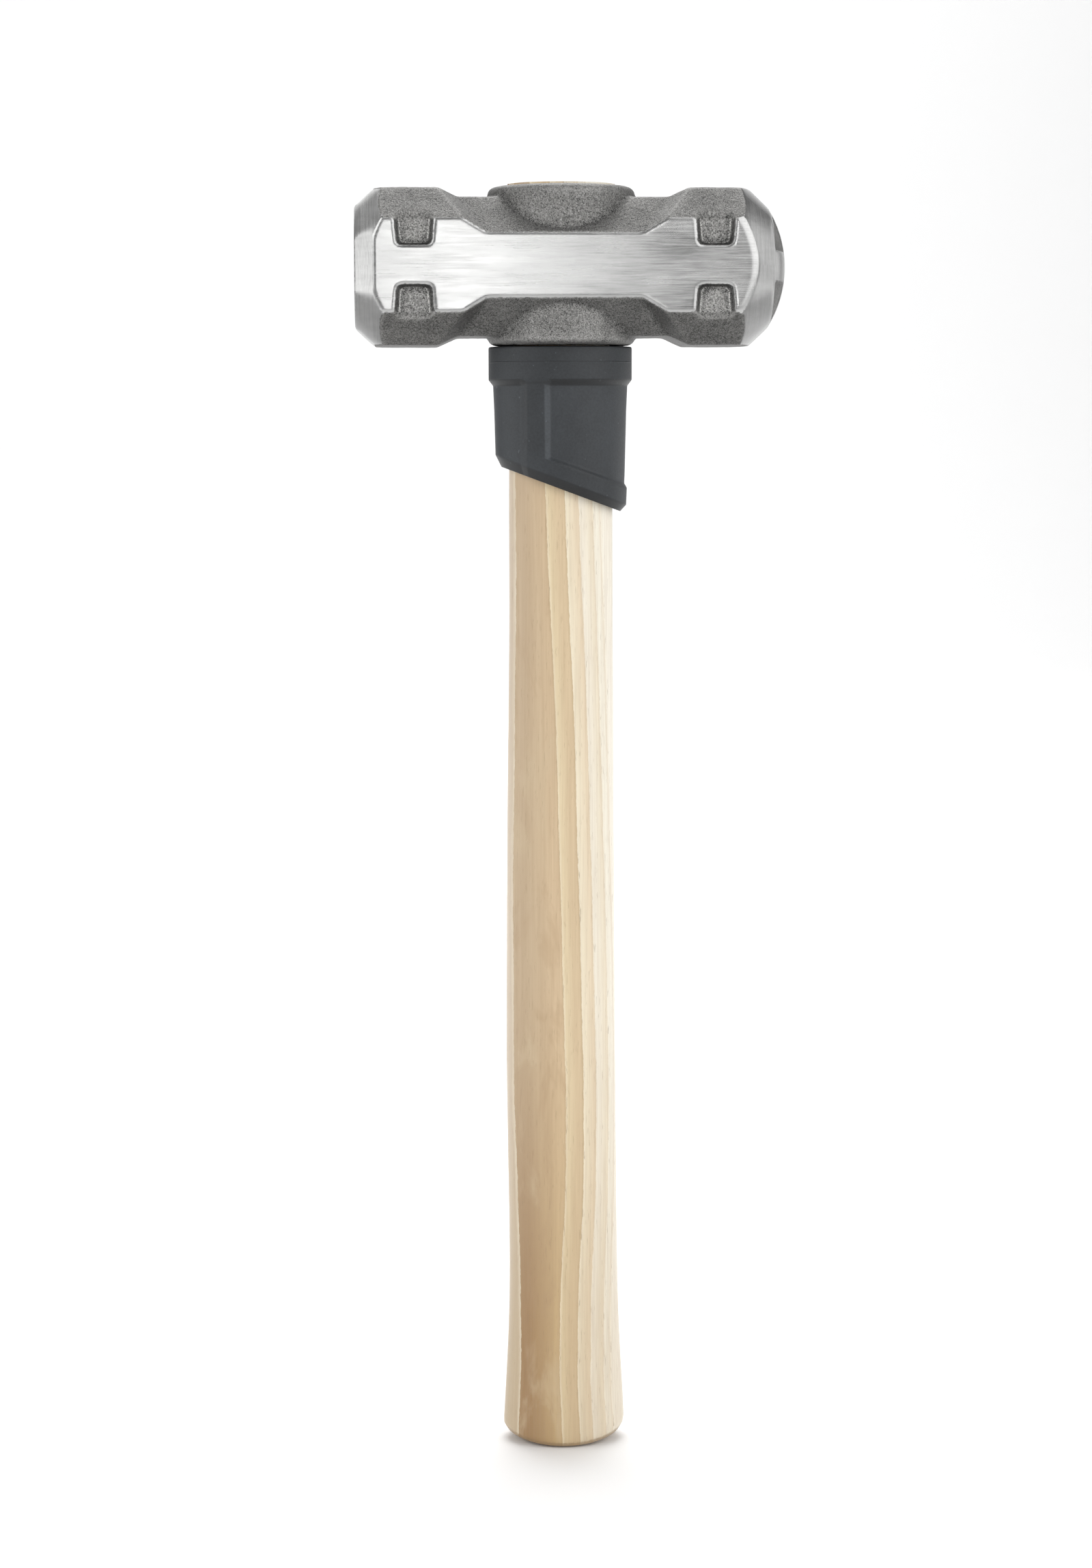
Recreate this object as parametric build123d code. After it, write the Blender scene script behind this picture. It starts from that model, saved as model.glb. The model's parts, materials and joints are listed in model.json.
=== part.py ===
"""Engineer's hammer: forged double-face head, hickory handle, rubber overstrike guard, eye wedges.

Frame: +Z runs up the handle from the centre of the butt to the head, +X runs along the head from
the flat face to the domed face, and -Y is the front.  Millimetres.
"""
import os
from math import radians, tan

import numpy as np
from build123d import *

# ---- head, all heights measured from the head's own centre line ----
HEAD_CENTRE_Z = 384.0        # height of the head's centre line above the butt
ACROSS_FLATS = 49.0          # square bar that the head is forged from
FLAT_WIDTH = 29.0            # width of each flat that the corner chamfers leave
FACE_X = 65.6                # from the eye to each face's rim
FACE_RADIUS = 20.4           # rolled corners of the flat striking face's rim
FACE_HALF_WIDTH = 18.9       # the four ground sides of that rim
DOME_RIM_RADIUS = 19.1       # rim of the domed striking face
DOME_HEIGHT = 5.7            # how far the domed face stands out of its rim
BEVEL_SLOPE = 0.94           # fall of radius per millimetre along the bevels
BEVEL_REACH = 12.0           # fall of radius at which the bevels have left the bar
RECESS_DEPTH = 0.5           # forged quadrants of the domed face lie this far below its cross
RECESS_RIM = 1.5             # width of the polished ring round the quadrants
CROSS_WIDTH = 9.4            # width of the polished cross on the domed face

# ---- waist, the thinner middle of the head ----
WAIST_TOP = 21.7             # height of the waist's top and bottom flats
WAIST_FLAT = 10.0            # half width of the side flats at the waist
SLOPE_OUTER_X = 39.5         # where the top flat starts to fall to the waist
SLOPE_INNER_X = 33.3         # where that fall ends
SIDE_OUTER_X = 31.5          # where the same fall starts on the edge of the side flat

# ---- boss, the collar round the eye ----
BOSS_HALF_X = 23.4
BOSS_HALF_Y = 22.8
BOSS_TOP = 25.3
BOSS_BOTTOM = -24.3
BOSS_ROUND = 2.4

# ---- pockets forged into the side flats ----
POCKET_X = 46.9              # centre of a pocket along the head
POCKET_INNER_Z = 6.1         # mouth of a pocket above or below the centre line
POCKET_DEPTH = 2.1
POCKET_WIDTH = 11.1          # at the inner end of the mouth
POCKET_SPREAD = 0.08         # growth of the half width per millimetre towards the chamfer
POCKET_RUNOUT = 5.0          # how far the cutter passes the edge of the side flat
POCKET_CORNER = 1.4
POCKET_SIDE_DRAFT = 40.0     # degrees
POCKET_END_DRAFT = 20.0      # degrees
POCKET_CLEARANCE = 1.0       # how far the cutter stands out of the side flat

# ---- eye ----
EYE_BOTTOM = (15.4, 11.0)    # half axes where the handle enters
EYE_TOP = (17.0, 12.4)       # half axes where it is wedged

# ---- handle: height above the butt, half width, half depth, sideways offset ----
HANDLE_STATIONS = [
    (0.0, 20.1, 13.8, 0.0),
    (14.0, 19.7, 13.6, 0.2),
    (33.0, 18.35, 13.0, 0.2),
    (60.0, 17.75, 12.8, 0.1),
    (130.0, 17.9, 12.9, -0.65),
    (200.0, 17.45, 12.7, -0.6),
    (270.0, 16.7, 12.4, -0.3),
    (359.4, 16.5, 12.2, -0.3),
]
HANDLE_SECTION_STEP = 22.45  # spacing of the ovals that the grip's surface passes through
TENON_PROUD = 1.1            # the handle's end stands this far out of the boss
BUTT_FLAT_RADIUS = 8.0       # flat middle of the butt
BUTT_DOME_RADIUS = 21.0      # radius at which the butt's crown has risen by BUTT_DOME_RISE
BUTT_DOME_RISE = 5.0
BUTT_CHAMFER = 1.2

# ---- wedges ----
WOOD_WEDGE_THICK = 3.6
WOOD_WEDGE_TIP = 0.8
WOOD_WEDGE_DEPTH = 36.0
STEEL_WEDGE_X = 7.8
STEEL_WEDGE_THICK = 2.6
STEEL_WEDGE_TIP = 0.5
STEEL_WEDGE_LENGTH = 15.0
STEEL_WEDGE_DEPTH = 20.0

# ---- overstrike guard, heights measured from the head's centre line ----
GUARD_TOP = -24.7
GUARD_OFFSET = -0.25         # the guard sits this far to one side of the eye
COLLAR_BOTTOM = -34.6
COLLAR_STEP_BOTTOM = -36.8
COLLAR_HALF = (22.7, 18.2)
GUARD_UPPER_HALF = (22.4, 17.9)
GUARD_LOWER_HALF = (20.8, 16.4)
GUARD_LOWER_Z = -78.0
PANEL_DEPTH = 0.8
RIB_LEFT = -11.4
RIB_RIGHT = -4.6
HEM_AT_RIB = -58.4           # upper edge of the slanted hem at the rib's right side
HEM_SLOPE = -0.348
GUARD_EDGE_LEFT = (-19.9, -62.3)
GUARD_EDGE_RIGHT = (17.7, -76.4)
GUARD_EDGE_HALF = (18.6, 14.2)  # half axes of that edge; a 45 degree bevel starts from them

HALF = ACROSS_FLATS / 2
HALF_FLAT = FLAT_WIDTH / 2
REACH = 200.0                # larger than any part of the head
TOOL_CLEAR = 500.0           # higher than the whole tool


def octagon_bar(top, side, flat_on_side, half_length):
    """Bar along X whose section has flats at +-top and +-side joined by 45 degree chamfers."""
    corner_sum = side + flat_on_side
    flat_on_top = corner_sum - top
    points = []
    for y_sign, z_sign, side_first in ((1, 1, True), (-1, 1, False), (-1, -1, True), (1, -1, False)):
        side_point = (y_sign * side, z_sign * flat_on_side)
        top_point = (y_sign * flat_on_top, z_sign * top)
        points += [side_point, top_point] if side_first else [top_point, side_point]
    section = Plane.YZ * make_face(Polyline(points, close=True))
    return extrude(section, half_length, both=True)


def keep_beyond(solid, origin, normal):
    """The part of the solid on the side of the plane that its normal points to."""
    return split(solid, bisect_by=Plane(origin=origin, z_dir=normal), keep=Keep.TOP)


def end_block(sign):
    """Full-section end of the bar, cut back towards the eye by the falls to the waist."""
    block = octagon_bar(HALF, HALF, HALF_FLAT, FACE_X + DOME_HEIGHT)
    outer = Vector(sign * SLOPE_OUTER_X, 0, HALF)
    inner = Vector(sign * SLOPE_INNER_X, 0, WAIST_TOP)
    fall = outer - inner
    for z_sign in (1, -1):
        normal = Vector(sign * abs(fall.Z), 0, -z_sign * abs(fall.X))
        origin = Vector(inner.X, 0, z_sign * inner.Z)
        block = keep_beyond(block, origin, normal)
        for y_sign in (1, -1):
            top_corner = Vector(sign * SLOPE_OUTER_X, y_sign * HALF_FLAT, z_sign * HALF)
            side_corner = Vector(sign * SIDE_OUTER_X, y_sign * HALF, z_sign * HALF_FLAT)
            waist_corner = Vector(
                sign * SLOPE_INNER_X,
                y_sign * (HALF + WAIST_FLAT - WAIST_TOP),
                z_sign * WAIST_TOP,
            )
            normal = (side_corner - top_corner).cross(waist_corner - top_corner)
            if normal.X * sign < 0:
                normal = -normal
            block = keep_beyond(block, top_corner, normal)
    return block


def turned_envelope():
    """Solid of revolution about X: the two bevels, the flat face and the domed face."""
    bevel_length = BEVEL_REACH / BEVEL_SLOPE
    dome_radius = (DOME_RIM_RADIUS**2 + DOME_HEIGHT**2) / (2 * DOME_HEIGHT)
    apex = (FACE_X + DOME_HEIGHT, 0)
    middle_r = DOME_RIM_RADIUS / 2
    middle = (apex[0] - dome_radius + (dome_radius**2 - middle_r**2) ** 0.5, middle_r)
    flat_centre = (-FACE_X, 0)
    flat_rim = (-FACE_X, FACE_RADIUS)
    flat_bevel_end = (-FACE_X + bevel_length, FACE_RADIUS + BEVEL_REACH)
    dome_bevel_end = (FACE_X - bevel_length, DOME_RIM_RADIUS + BEVEL_REACH)
    dome_rim = (FACE_X, DOME_RIM_RADIUS)
    outline = [
        Line(flat_centre, flat_rim),
        Line(flat_rim, flat_bevel_end),
        Line(flat_bevel_end, dome_bevel_end),
        Line(dome_bevel_end, dome_rim),
        ThreePointArc(dome_rim, middle, apex),
        Line(apex, flat_centre),
    ]
    profile = Plane.XZ * make_face(Wire(outline))
    return revolve(profile, axis=Axis.X, revolution_arc=360)


def grind_flat_face(bar):
    """The bar with its flat face's bevel ground straight along the four side flats."""
    for sign in (-1, 1):
        side = (-FACE_X, sign * FACE_HALF_WIDTH, 0)
        bar = keep_beyond(bar, side, (BEVEL_SLOPE, -sign, 0))
        top = (-FACE_X, 0, sign * FACE_HALF_WIDTH)
        bar = keep_beyond(bar, top, (BEVEL_SLOPE, 0, -sign))
    return bar


def dome_quadrants():
    """The four shallow quadrants sunk into the domed face, round its polished cross."""
    dome_radius = (DOME_RIM_RADIUS**2 + DOME_HEIGHT**2) / (2 * DOME_HEIGHT)
    centre_x = FACE_X + DOME_HEIGHT - dome_radius
    floor_radius = dome_radius - RECESS_DEPTH
    outer_r = DOME_RIM_RADIUS - RECESS_RIM
    middle_r = outer_r / 2
    clear_x = FACE_X + 2 * DOME_HEIGHT
    apex = (centre_x + floor_radius, 0)
    middle = (centre_x + (floor_radius**2 - middle_r**2) ** 0.5, middle_r)
    rim = (centre_x + (floor_radius**2 - outer_r**2) ** 0.5, outer_r)
    outline = [
        ThreePointArc(apex, middle, rim),
        Line(rim, (clear_x, outer_r)),
        Line((clear_x, outer_r), (clear_x, 0)),
        Line((clear_x, 0), apex),
    ]
    disc = revolve(Plane.XZ * make_face(Wire(outline)), axis=Axis.X, revolution_arc=360)
    side = DOME_RIM_RADIUS
    offset = CROSS_WIDTH / 2 + side / 2
    return [
        disc & Pos(FACE_X, y_sign * offset, z_sign * offset) * Box(4 * DOME_HEIGHT, side, side)
        for y_sign in (-1, 1)
        for z_sign in (-1, 1)
    ]


def pocket_outline(height):
    """Outline of a pocket at a height above its floor; the walls lean out by their drafts."""
    below_mouth = POCKET_DEPTH - height
    inner_z = POCKET_INNER_Z + below_mouth * tan(radians(POCKET_END_DRAFT))
    inner_half = POCKET_WIDTH / 2 - below_mouth * tan(radians(POCKET_SIDE_DRAFT))
    outer_z = HALF_FLAT + POCKET_RUNOUT
    outer_half = inner_half + POCKET_SPREAD * (outer_z - inner_z)
    plan = make_face(
        Polyline(
            (-inner_half, inner_z),
            (inner_half, inner_z),
            (outer_half, outer_z),
            (-outer_half, outer_z),
            close=True,
        )
    )
    inner_corners = plan.vertices().sort_by(Axis.Y)[:2]
    plan = fillet(inner_corners, POCKET_CORNER)
    return Plane(origin=(0, below_mouth - HALF, 0), x_dir=(1, 0, 0), z_dir=(0, -1, 0)) * plan


def pocket(x_sign, y_sign, z_sign):
    """Cutter for one pocket, open onto the corner chamfer."""
    mouth = POCKET_DEPTH + POCKET_CLEARANCE
    cutter = loft([pocket_outline(0.0), pocket_outline(mouth)], ruled=True)
    if z_sign < 0:
        cutter = mirror(cutter, Plane.XY)
    if y_sign > 0:
        cutter = mirror(cutter, Plane.XZ)
    return Pos(x_sign * POCKET_X, 0, 0) * cutter


def oval_loft(stations):
    """Solid through ovals given as (height, half width, half depth, sideways offset)."""
    sections = [Pos(offset, 0, z) * Ellipse(half_x, half_y) for z, half_x, half_y, offset in stations]
    return loft(sections)


def eye_core(top):
    """Tapered oval that fills the eye, carried on to the given height above the centre line."""
    height = BOSS_TOP - BOSS_BOTTOM
    reach = (top - BOSS_BOTTOM) / height
    half_x = EYE_BOTTOM[0] + (EYE_TOP[0] - EYE_BOTTOM[0]) * reach
    half_y = EYE_BOTTOM[1] + (EYE_TOP[1] - EYE_BOTTOM[1]) * reach
    core = oval_loft([(BOSS_BOTTOM, *EYE_BOTTOM, 0.0), (top, half_x, half_y, 0.0)])
    return Pos(0, 0, HEAD_CENTRE_Z) * core


def make_head():
    bar = octagon_bar(WAIST_TOP, HALF, WAIST_FLAT, FACE_X)
    bar = bar + end_block(1) + end_block(-1)
    bar = grind_flat_face(bar & turned_envelope())
    boss = extrude(Pos(0, 0, BOSS_BOTTOM) * Ellipse(BOSS_HALF_X, BOSS_HALF_Y), BOSS_TOP - BOSS_BOTTOM)
    boss = fillet(boss.edges().filter_by(GeomType.ELLIPSE), BOSS_ROUND)
    head = bar + boss
    for x_sign in (-1, 1):
        for y_sign in (-1, 1):
            for z_sign in (-1, 1):
                head = head - pocket(x_sign, y_sign, z_sign)
    for quadrant in dome_quadrants():
        head = head - quadrant
    head = Pos(0, 0, HEAD_CENTRE_Z) * head
    return head - eye_core(BOSS_TOP + 2.0)


def butt_envelope():
    """Crowned end of the handle: flat in the middle, rising towards the rim."""
    outline = [
        Line((0, 0), (BUTT_FLAT_RADIUS, 0)),
        TangentArc((BUTT_FLAT_RADIUS, 0), (BUTT_DOME_RADIUS, BUTT_DOME_RISE), tangent=(1, 0)),
        Line((BUTT_DOME_RADIUS, BUTT_DOME_RISE), (BUTT_DOME_RADIUS, TOOL_CLEAR)),
        Line((BUTT_DOME_RADIUS, TOOL_CLEAR), (0, TOOL_CLEAR)),
        Line((0, TOOL_CLEAR), (0, 0)),
    ]
    profile = Plane.XZ * make_face(Wire(outline))
    return revolve(profile, axis=Axis.Z, revolution_arc=360)


def handle_body():
    """Grip of the handle, below the head, through evenly spaced ovals."""
    heights, widths, depths, offsets = (np.array(column) for column in zip(*HANDLE_STATIONS))
    steps = round(heights[-1] / HANDLE_SECTION_STEP)
    ovals = []
    for step in range(steps + 1):
        z = heights[-1] * step / steps
        ovals.append(tuple(float(np.interp(z, heights, row)) for row in (heights, widths, depths, offsets)))
    return oval_loft(ovals)


def make_handle():
    grip = handle_body() & butt_envelope()
    rim = grip.edges().filter_by(lambda e: e.center().Z < 8).sort_by(SortBy.LENGTH)[-1]
    grip = chamfer(rim, BUTT_CHAMFER)
    shoulder_z = HANDLE_STATIONS[-1][0]
    eye_bottom_z = HEAD_CENTRE_Z + BOSS_BOTTOM
    neck = Pos(0, 0, shoulder_z) * extrude(Ellipse(*EYE_BOTTOM), eye_bottom_z - shoulder_z)
    handle = grip + neck + eye_core(BOSS_TOP + TENON_PROUD)
    return handle - make_wood_wedge() - make_steel_wedge(-1) - make_steel_wedge(1)


def wedge_blade(thick, tip, length, depth):
    """Tapered blade, length along X, thickness along Y, with its head at the handle's end."""
    top_z = HEAD_CENTRE_Z + BOSS_TOP + TENON_PROUD
    head_end = Pos(0, 0, top_z) * Rectangle(length, thick)
    tip_end = Pos(0, 0, top_z - depth) * Rectangle(length, tip)
    return loft([tip_end, head_end])


def make_wood_wedge():
    blade = wedge_blade(WOOD_WEDGE_THICK, WOOD_WEDGE_TIP, 60.0, WOOD_WEDGE_DEPTH)
    wedge = blade & eye_core(BOSS_TOP + TENON_PROUD)
    return wedge - make_steel_wedge(-1) - make_steel_wedge(1)


def make_steel_wedge(sign):
    blade = wedge_blade(STEEL_WEDGE_THICK, STEEL_WEDGE_TIP, STEEL_WEDGE_LENGTH, STEEL_WEDGE_DEPTH)
    return Pos(sign * STEEL_WEDGE_X, 0, 0) * Rot(0, 0, 90) * blade


def guard_shell(inset):
    """Outside of the guard below its collar, drawn in by the inset."""
    upper = tuple(half - inset for half in GUARD_UPPER_HALF)
    lower = tuple(half - inset for half in GUARD_LOWER_HALF)
    return oval_loft([(COLLAR_BOTTOM, *upper, 0.0), (GUARD_LOWER_Z, *lower, 0.0)])


def slanted_block(line_start, slope):
    """Block above a line that slants across the front."""
    x, z = line_start
    z_left = z + slope * (-REACH - x)
    z_right = z + slope * (REACH - x)
    outline = Polyline((-REACH, z_left), (REACH, z_right), (REACH, REACH), (-REACH, REACH), close=True)
    return extrude(Plane.XZ * make_face(outline), REACH, both=True)


def panel_block(rib_x, sign):
    """Block below the collar's step, on one side of the rib."""
    block = Pos(rib_x + sign * REACH, 0, COLLAR_STEP_BOTTOM - REACH)
    return block * Box(2 * REACH, 2 * REACH, 2 * REACH)


def edge_bevel(edge_slope):
    """Envelope that bevels the outside of the guard's slanted lower edge at 45 degrees."""
    tilt = Plane(
        origin=(0, 0, GUARD_EDGE_LEFT[1] - edge_slope * GUARD_EDGE_LEFT[0]),
        x_dir=(1, 0, edge_slope),
        z_dir=(-edge_slope, 0, 1),
    )
    half_x = GUARD_EDGE_HALF[0] * (1 + edge_slope**2) ** 0.5
    half_y = GUARD_EDGE_HALF[1]
    bottom = tilt * Ellipse(half_x, half_y)
    top = tilt.offset(REACH) * Ellipse(half_x + REACH, half_y + REACH)
    return loft([bottom, top])


def make_guard():
    collar = extrude(Pos(0, 0, COLLAR_BOTTOM) * Ellipse(*COLLAR_HALF), GUARD_TOP - COLLAR_BOTTOM)
    panel_half = tuple(half - PANEL_DEPTH for half in GUARD_UPPER_HALF)
    step = oval_loft([(COLLAR_STEP_BOTTOM, *panel_half, 0.0), (COLLAR_BOTTOM, *COLLAR_HALF, 0.0)])
    raised = guard_shell(0.0)
    skin = raised - guard_shell(PANEL_DEPTH)
    left_panel = panel_block(RIB_LEFT, -1)
    right_panel = panel_block(RIB_RIGHT, 1) & slanted_block((RIB_RIGHT, HEM_AT_RIB), HEM_SLOPE)
    body = raised - (skin & left_panel) - (skin & right_panel)
    edge_slope = (GUARD_EDGE_RIGHT[1] - GUARD_EDGE_LEFT[1]) / (GUARD_EDGE_RIGHT[0] - GUARD_EDGE_LEFT[0])
    body = body & slanted_block(GUARD_EDGE_LEFT, edge_slope)
    guard = (collar + step + body) & edge_bevel(edge_slope)
    return Pos(GUARD_OFFSET, 0, HEAD_CENTRE_Z) * guard - handle_body()


os.makedirs("parts", exist_ok=True)
parts = {
    "head": make_head(),
    "handle": make_handle(),
    "overstrike_guard": make_guard(),
    "wood_wedge": make_wood_wedge(),
    "steel_wedge_left": make_steel_wedge(-1),
    "steel_wedge_right": make_steel_wedge(1),
}
for name, part in parts.items():
    solids = part.solids()
    print(name, "solids", len(solids), "volume cm3", round(part.volume / 1000, 2))
    export_step(part, f"parts/{name}.step")
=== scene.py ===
# %% [markdown]
# # A double-face engineer's hammer
# The real tool is a forged steel head wedged on a hickory handle, with a rubber sleeve that takes
# the blows that miss.  The CAD frame already holds every size, so this lesson only adds what a
# drawing leaves out: soft forged edges, grinding lines, wood grain and moulded rubber.

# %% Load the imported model
import json
import math

import bmesh
import bpy
from mathutils import Matrix, Vector, noise


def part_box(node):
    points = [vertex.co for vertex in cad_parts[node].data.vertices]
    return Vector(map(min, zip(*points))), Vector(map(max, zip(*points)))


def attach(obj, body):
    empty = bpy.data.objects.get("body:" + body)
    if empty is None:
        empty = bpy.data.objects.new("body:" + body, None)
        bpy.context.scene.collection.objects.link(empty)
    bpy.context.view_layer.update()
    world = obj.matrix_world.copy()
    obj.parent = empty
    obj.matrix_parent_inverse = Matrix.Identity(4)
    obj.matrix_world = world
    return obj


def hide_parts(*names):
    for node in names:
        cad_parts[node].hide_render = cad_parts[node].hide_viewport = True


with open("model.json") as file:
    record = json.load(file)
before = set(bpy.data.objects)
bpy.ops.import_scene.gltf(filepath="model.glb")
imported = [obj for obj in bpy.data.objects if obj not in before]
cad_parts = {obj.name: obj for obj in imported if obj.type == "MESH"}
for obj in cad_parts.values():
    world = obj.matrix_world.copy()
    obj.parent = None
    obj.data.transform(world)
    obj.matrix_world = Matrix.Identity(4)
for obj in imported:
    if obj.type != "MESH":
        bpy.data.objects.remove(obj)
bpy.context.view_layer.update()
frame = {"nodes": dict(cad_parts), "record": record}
MM = 0.001
print("nodes:", sorted(frame["nodes"]))

# %% [markdown]
# Places come from the record's mounts and from the nodes' own boxes, so nothing is typed twice.
# The head's centre line is the height of the flat face's mount, and both faces lie on it.  The
# domed face is a piece of a sphere, whose centre follows from the dome's height and rim.

# %% Read the driving places
MOUNTS = {mount["name"]: Vector(mount["pos_m"]) for mount in frame["record"]["mounts"]}
FLAT_FACE = MOUNTS["flat_striking_face"]
DOME_APEX = MOUNTS["domed_striking_face"]
HEAD_Z = FLAT_FACE.z
HALF_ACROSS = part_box("head")[1].y
FACE_REACH = -FLAT_FACE.x
FACE_RADIUS = 20.4 * MM
FACE_HALF_WIDTH = 18.9 * MM
DOME_RIM_RADIUS = 19.1 * MM
DOME_HEIGHT = DOME_APEX.x - FACE_REACH
DOME_RADIUS = (DOME_RIM_RADIUS**2 + DOME_HEIGHT**2) / (2 * DOME_HEIGHT)
DOME_CENTRE = Vector((DOME_APEX.x - DOME_RADIUS, 0, HEAD_Z))
BEVEL_SLOPE = 0.94
print("head centre line at", round(HEAD_Z / MM, 1), "mm, half across flats", round(HALF_ACROSS / MM, 2))

# %% [markdown]
# Every piece starts as a bmesh, which is Blender's mesh for editing.  It becomes an object that
# sits at the origin, with its place in the mesh itself, because the frame expects that.  A
# modifier changes a mesh only on the way to the screen, so its result is kept as plain mesh.


# %% Turn a bmesh and its modifiers into an object
def object_from(bm, name):
    """A new object at the origin that holds the bmesh."""
    mesh = bpy.data.meshes.new(name)
    bm.to_mesh(mesh)
    bm.free()
    piece = bpy.data.objects.new(name, mesh)
    bpy.context.scene.collection.objects.link(piece)
    return piece


def keep_modifiers(piece):
    """Turns the piece's modifiers into plain mesh."""
    bpy.context.view_layer.update()
    graph = bpy.context.evaluated_depsgraph_get()
    mesh = bpy.data.meshes.new_from_object(piece.evaluated_get(graph))
    piece.modifiers.clear()
    piece.data = mesh


# %% [markdown]
# A CAD node arrives as loose triangles with very long, thin faces.  Its corners are joined first.
# Then a voxel remesh lays an even skin of small faces over it, which can be smoothed, dented and
# painted point by point.


# %% Even skin on a CAD shape
def welded_copy(node, name):
    """A copy of a CAD node with its loose triangles joined at their corners."""
    bm = bmesh.new()
    bm.from_mesh(frame["nodes"][node].data)
    bmesh.ops.remove_doubles(bm, verts=bm.verts, dist=0.001 * MM)
    return object_from(bm, name)


def soften(bm, verts, passes):
    """Moves every point halfway to the middle of its neighbours, again and again."""
    for _ in range(passes):
        bmesh.ops.smooth_vert(bm, verts=verts, factor=0.5, use_axis_x=True, use_axis_y=True, use_axis_z=True)


def fine_skin(piece, cell, passes):
    """Gives a piece an even skin of small faces and rounds its edges a little."""
    remesh = piece.modifiers.new("even_skin", "REMESH")
    remesh.mode = "VOXEL"
    remesh.voxel_size = cell
    keep_modifiers(piece)
    bm = bmesh.new()
    bm.from_mesh(piece.data)
    soften(bm, bm.verts, passes)
    bmesh.ops.recalc_face_normals(bm, faces=bm.faces)
    bm.to_mesh(piece.data)
    bm.free()


# %% [markdown]
# A finished piece gets smooth shading and one material.  It rides on the tool's one body, and the CAD
# node that it stands for is hidden.  The last two helpers give numbers that rise from 0 to 1, either
# straight or with soft ends, and are used wherever a shape fades into another.


# %% Finish a piece, and two ramps
def finish_piece(piece, node, material):
    """Smooth shading, one material, one body, and the CAD node that it stands for is hidden."""
    piece.data.materials.clear()
    piece.data.materials.append(material)
    piece.data.polygons.foreach_set("use_smooth", [True] * len(piece.data.polygons))
    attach(piece, "root")
    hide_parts(node)
    print(piece.name, len(piece.data.vertices), "vertices")


def steady(value, low, high):
    """0 below low, 1 above high, straight between."""
    return min(max((value - low) / (high - low), 0.0), 1.0)


def ramp_between(value, low, high):
    """0 below low, 1 above high, smooth between."""
    t = steady(value, low, high)
    return t * t * (3 - 2 * t)


def store_on_points(piece, name, values):
    """Keeps one number per point in the mesh, where a material can read it."""
    layer = piece.data.attributes.new(name, "FLOAT", "POINT")
    layer.data.foreach_set("value", values)
    print(piece.name, name, "from", round(min(values), 2), "to", round(max(values), 2))


def box_in_mm(piece):
    """The two far corners of a piece's box, in millimetres."""
    return [round(value / MM, 1) for value in (*piece.bound_box[0], *piece.bound_box[6])]


# %% [markdown]
# A material is a short chain of nodes that ends in the Principled shader.  The class below only
# saves typing: each method adds one node with its settings and returns its output, so a chain
# reads like arithmetic.  Noise is always read in Object coordinates, in metres.


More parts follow.
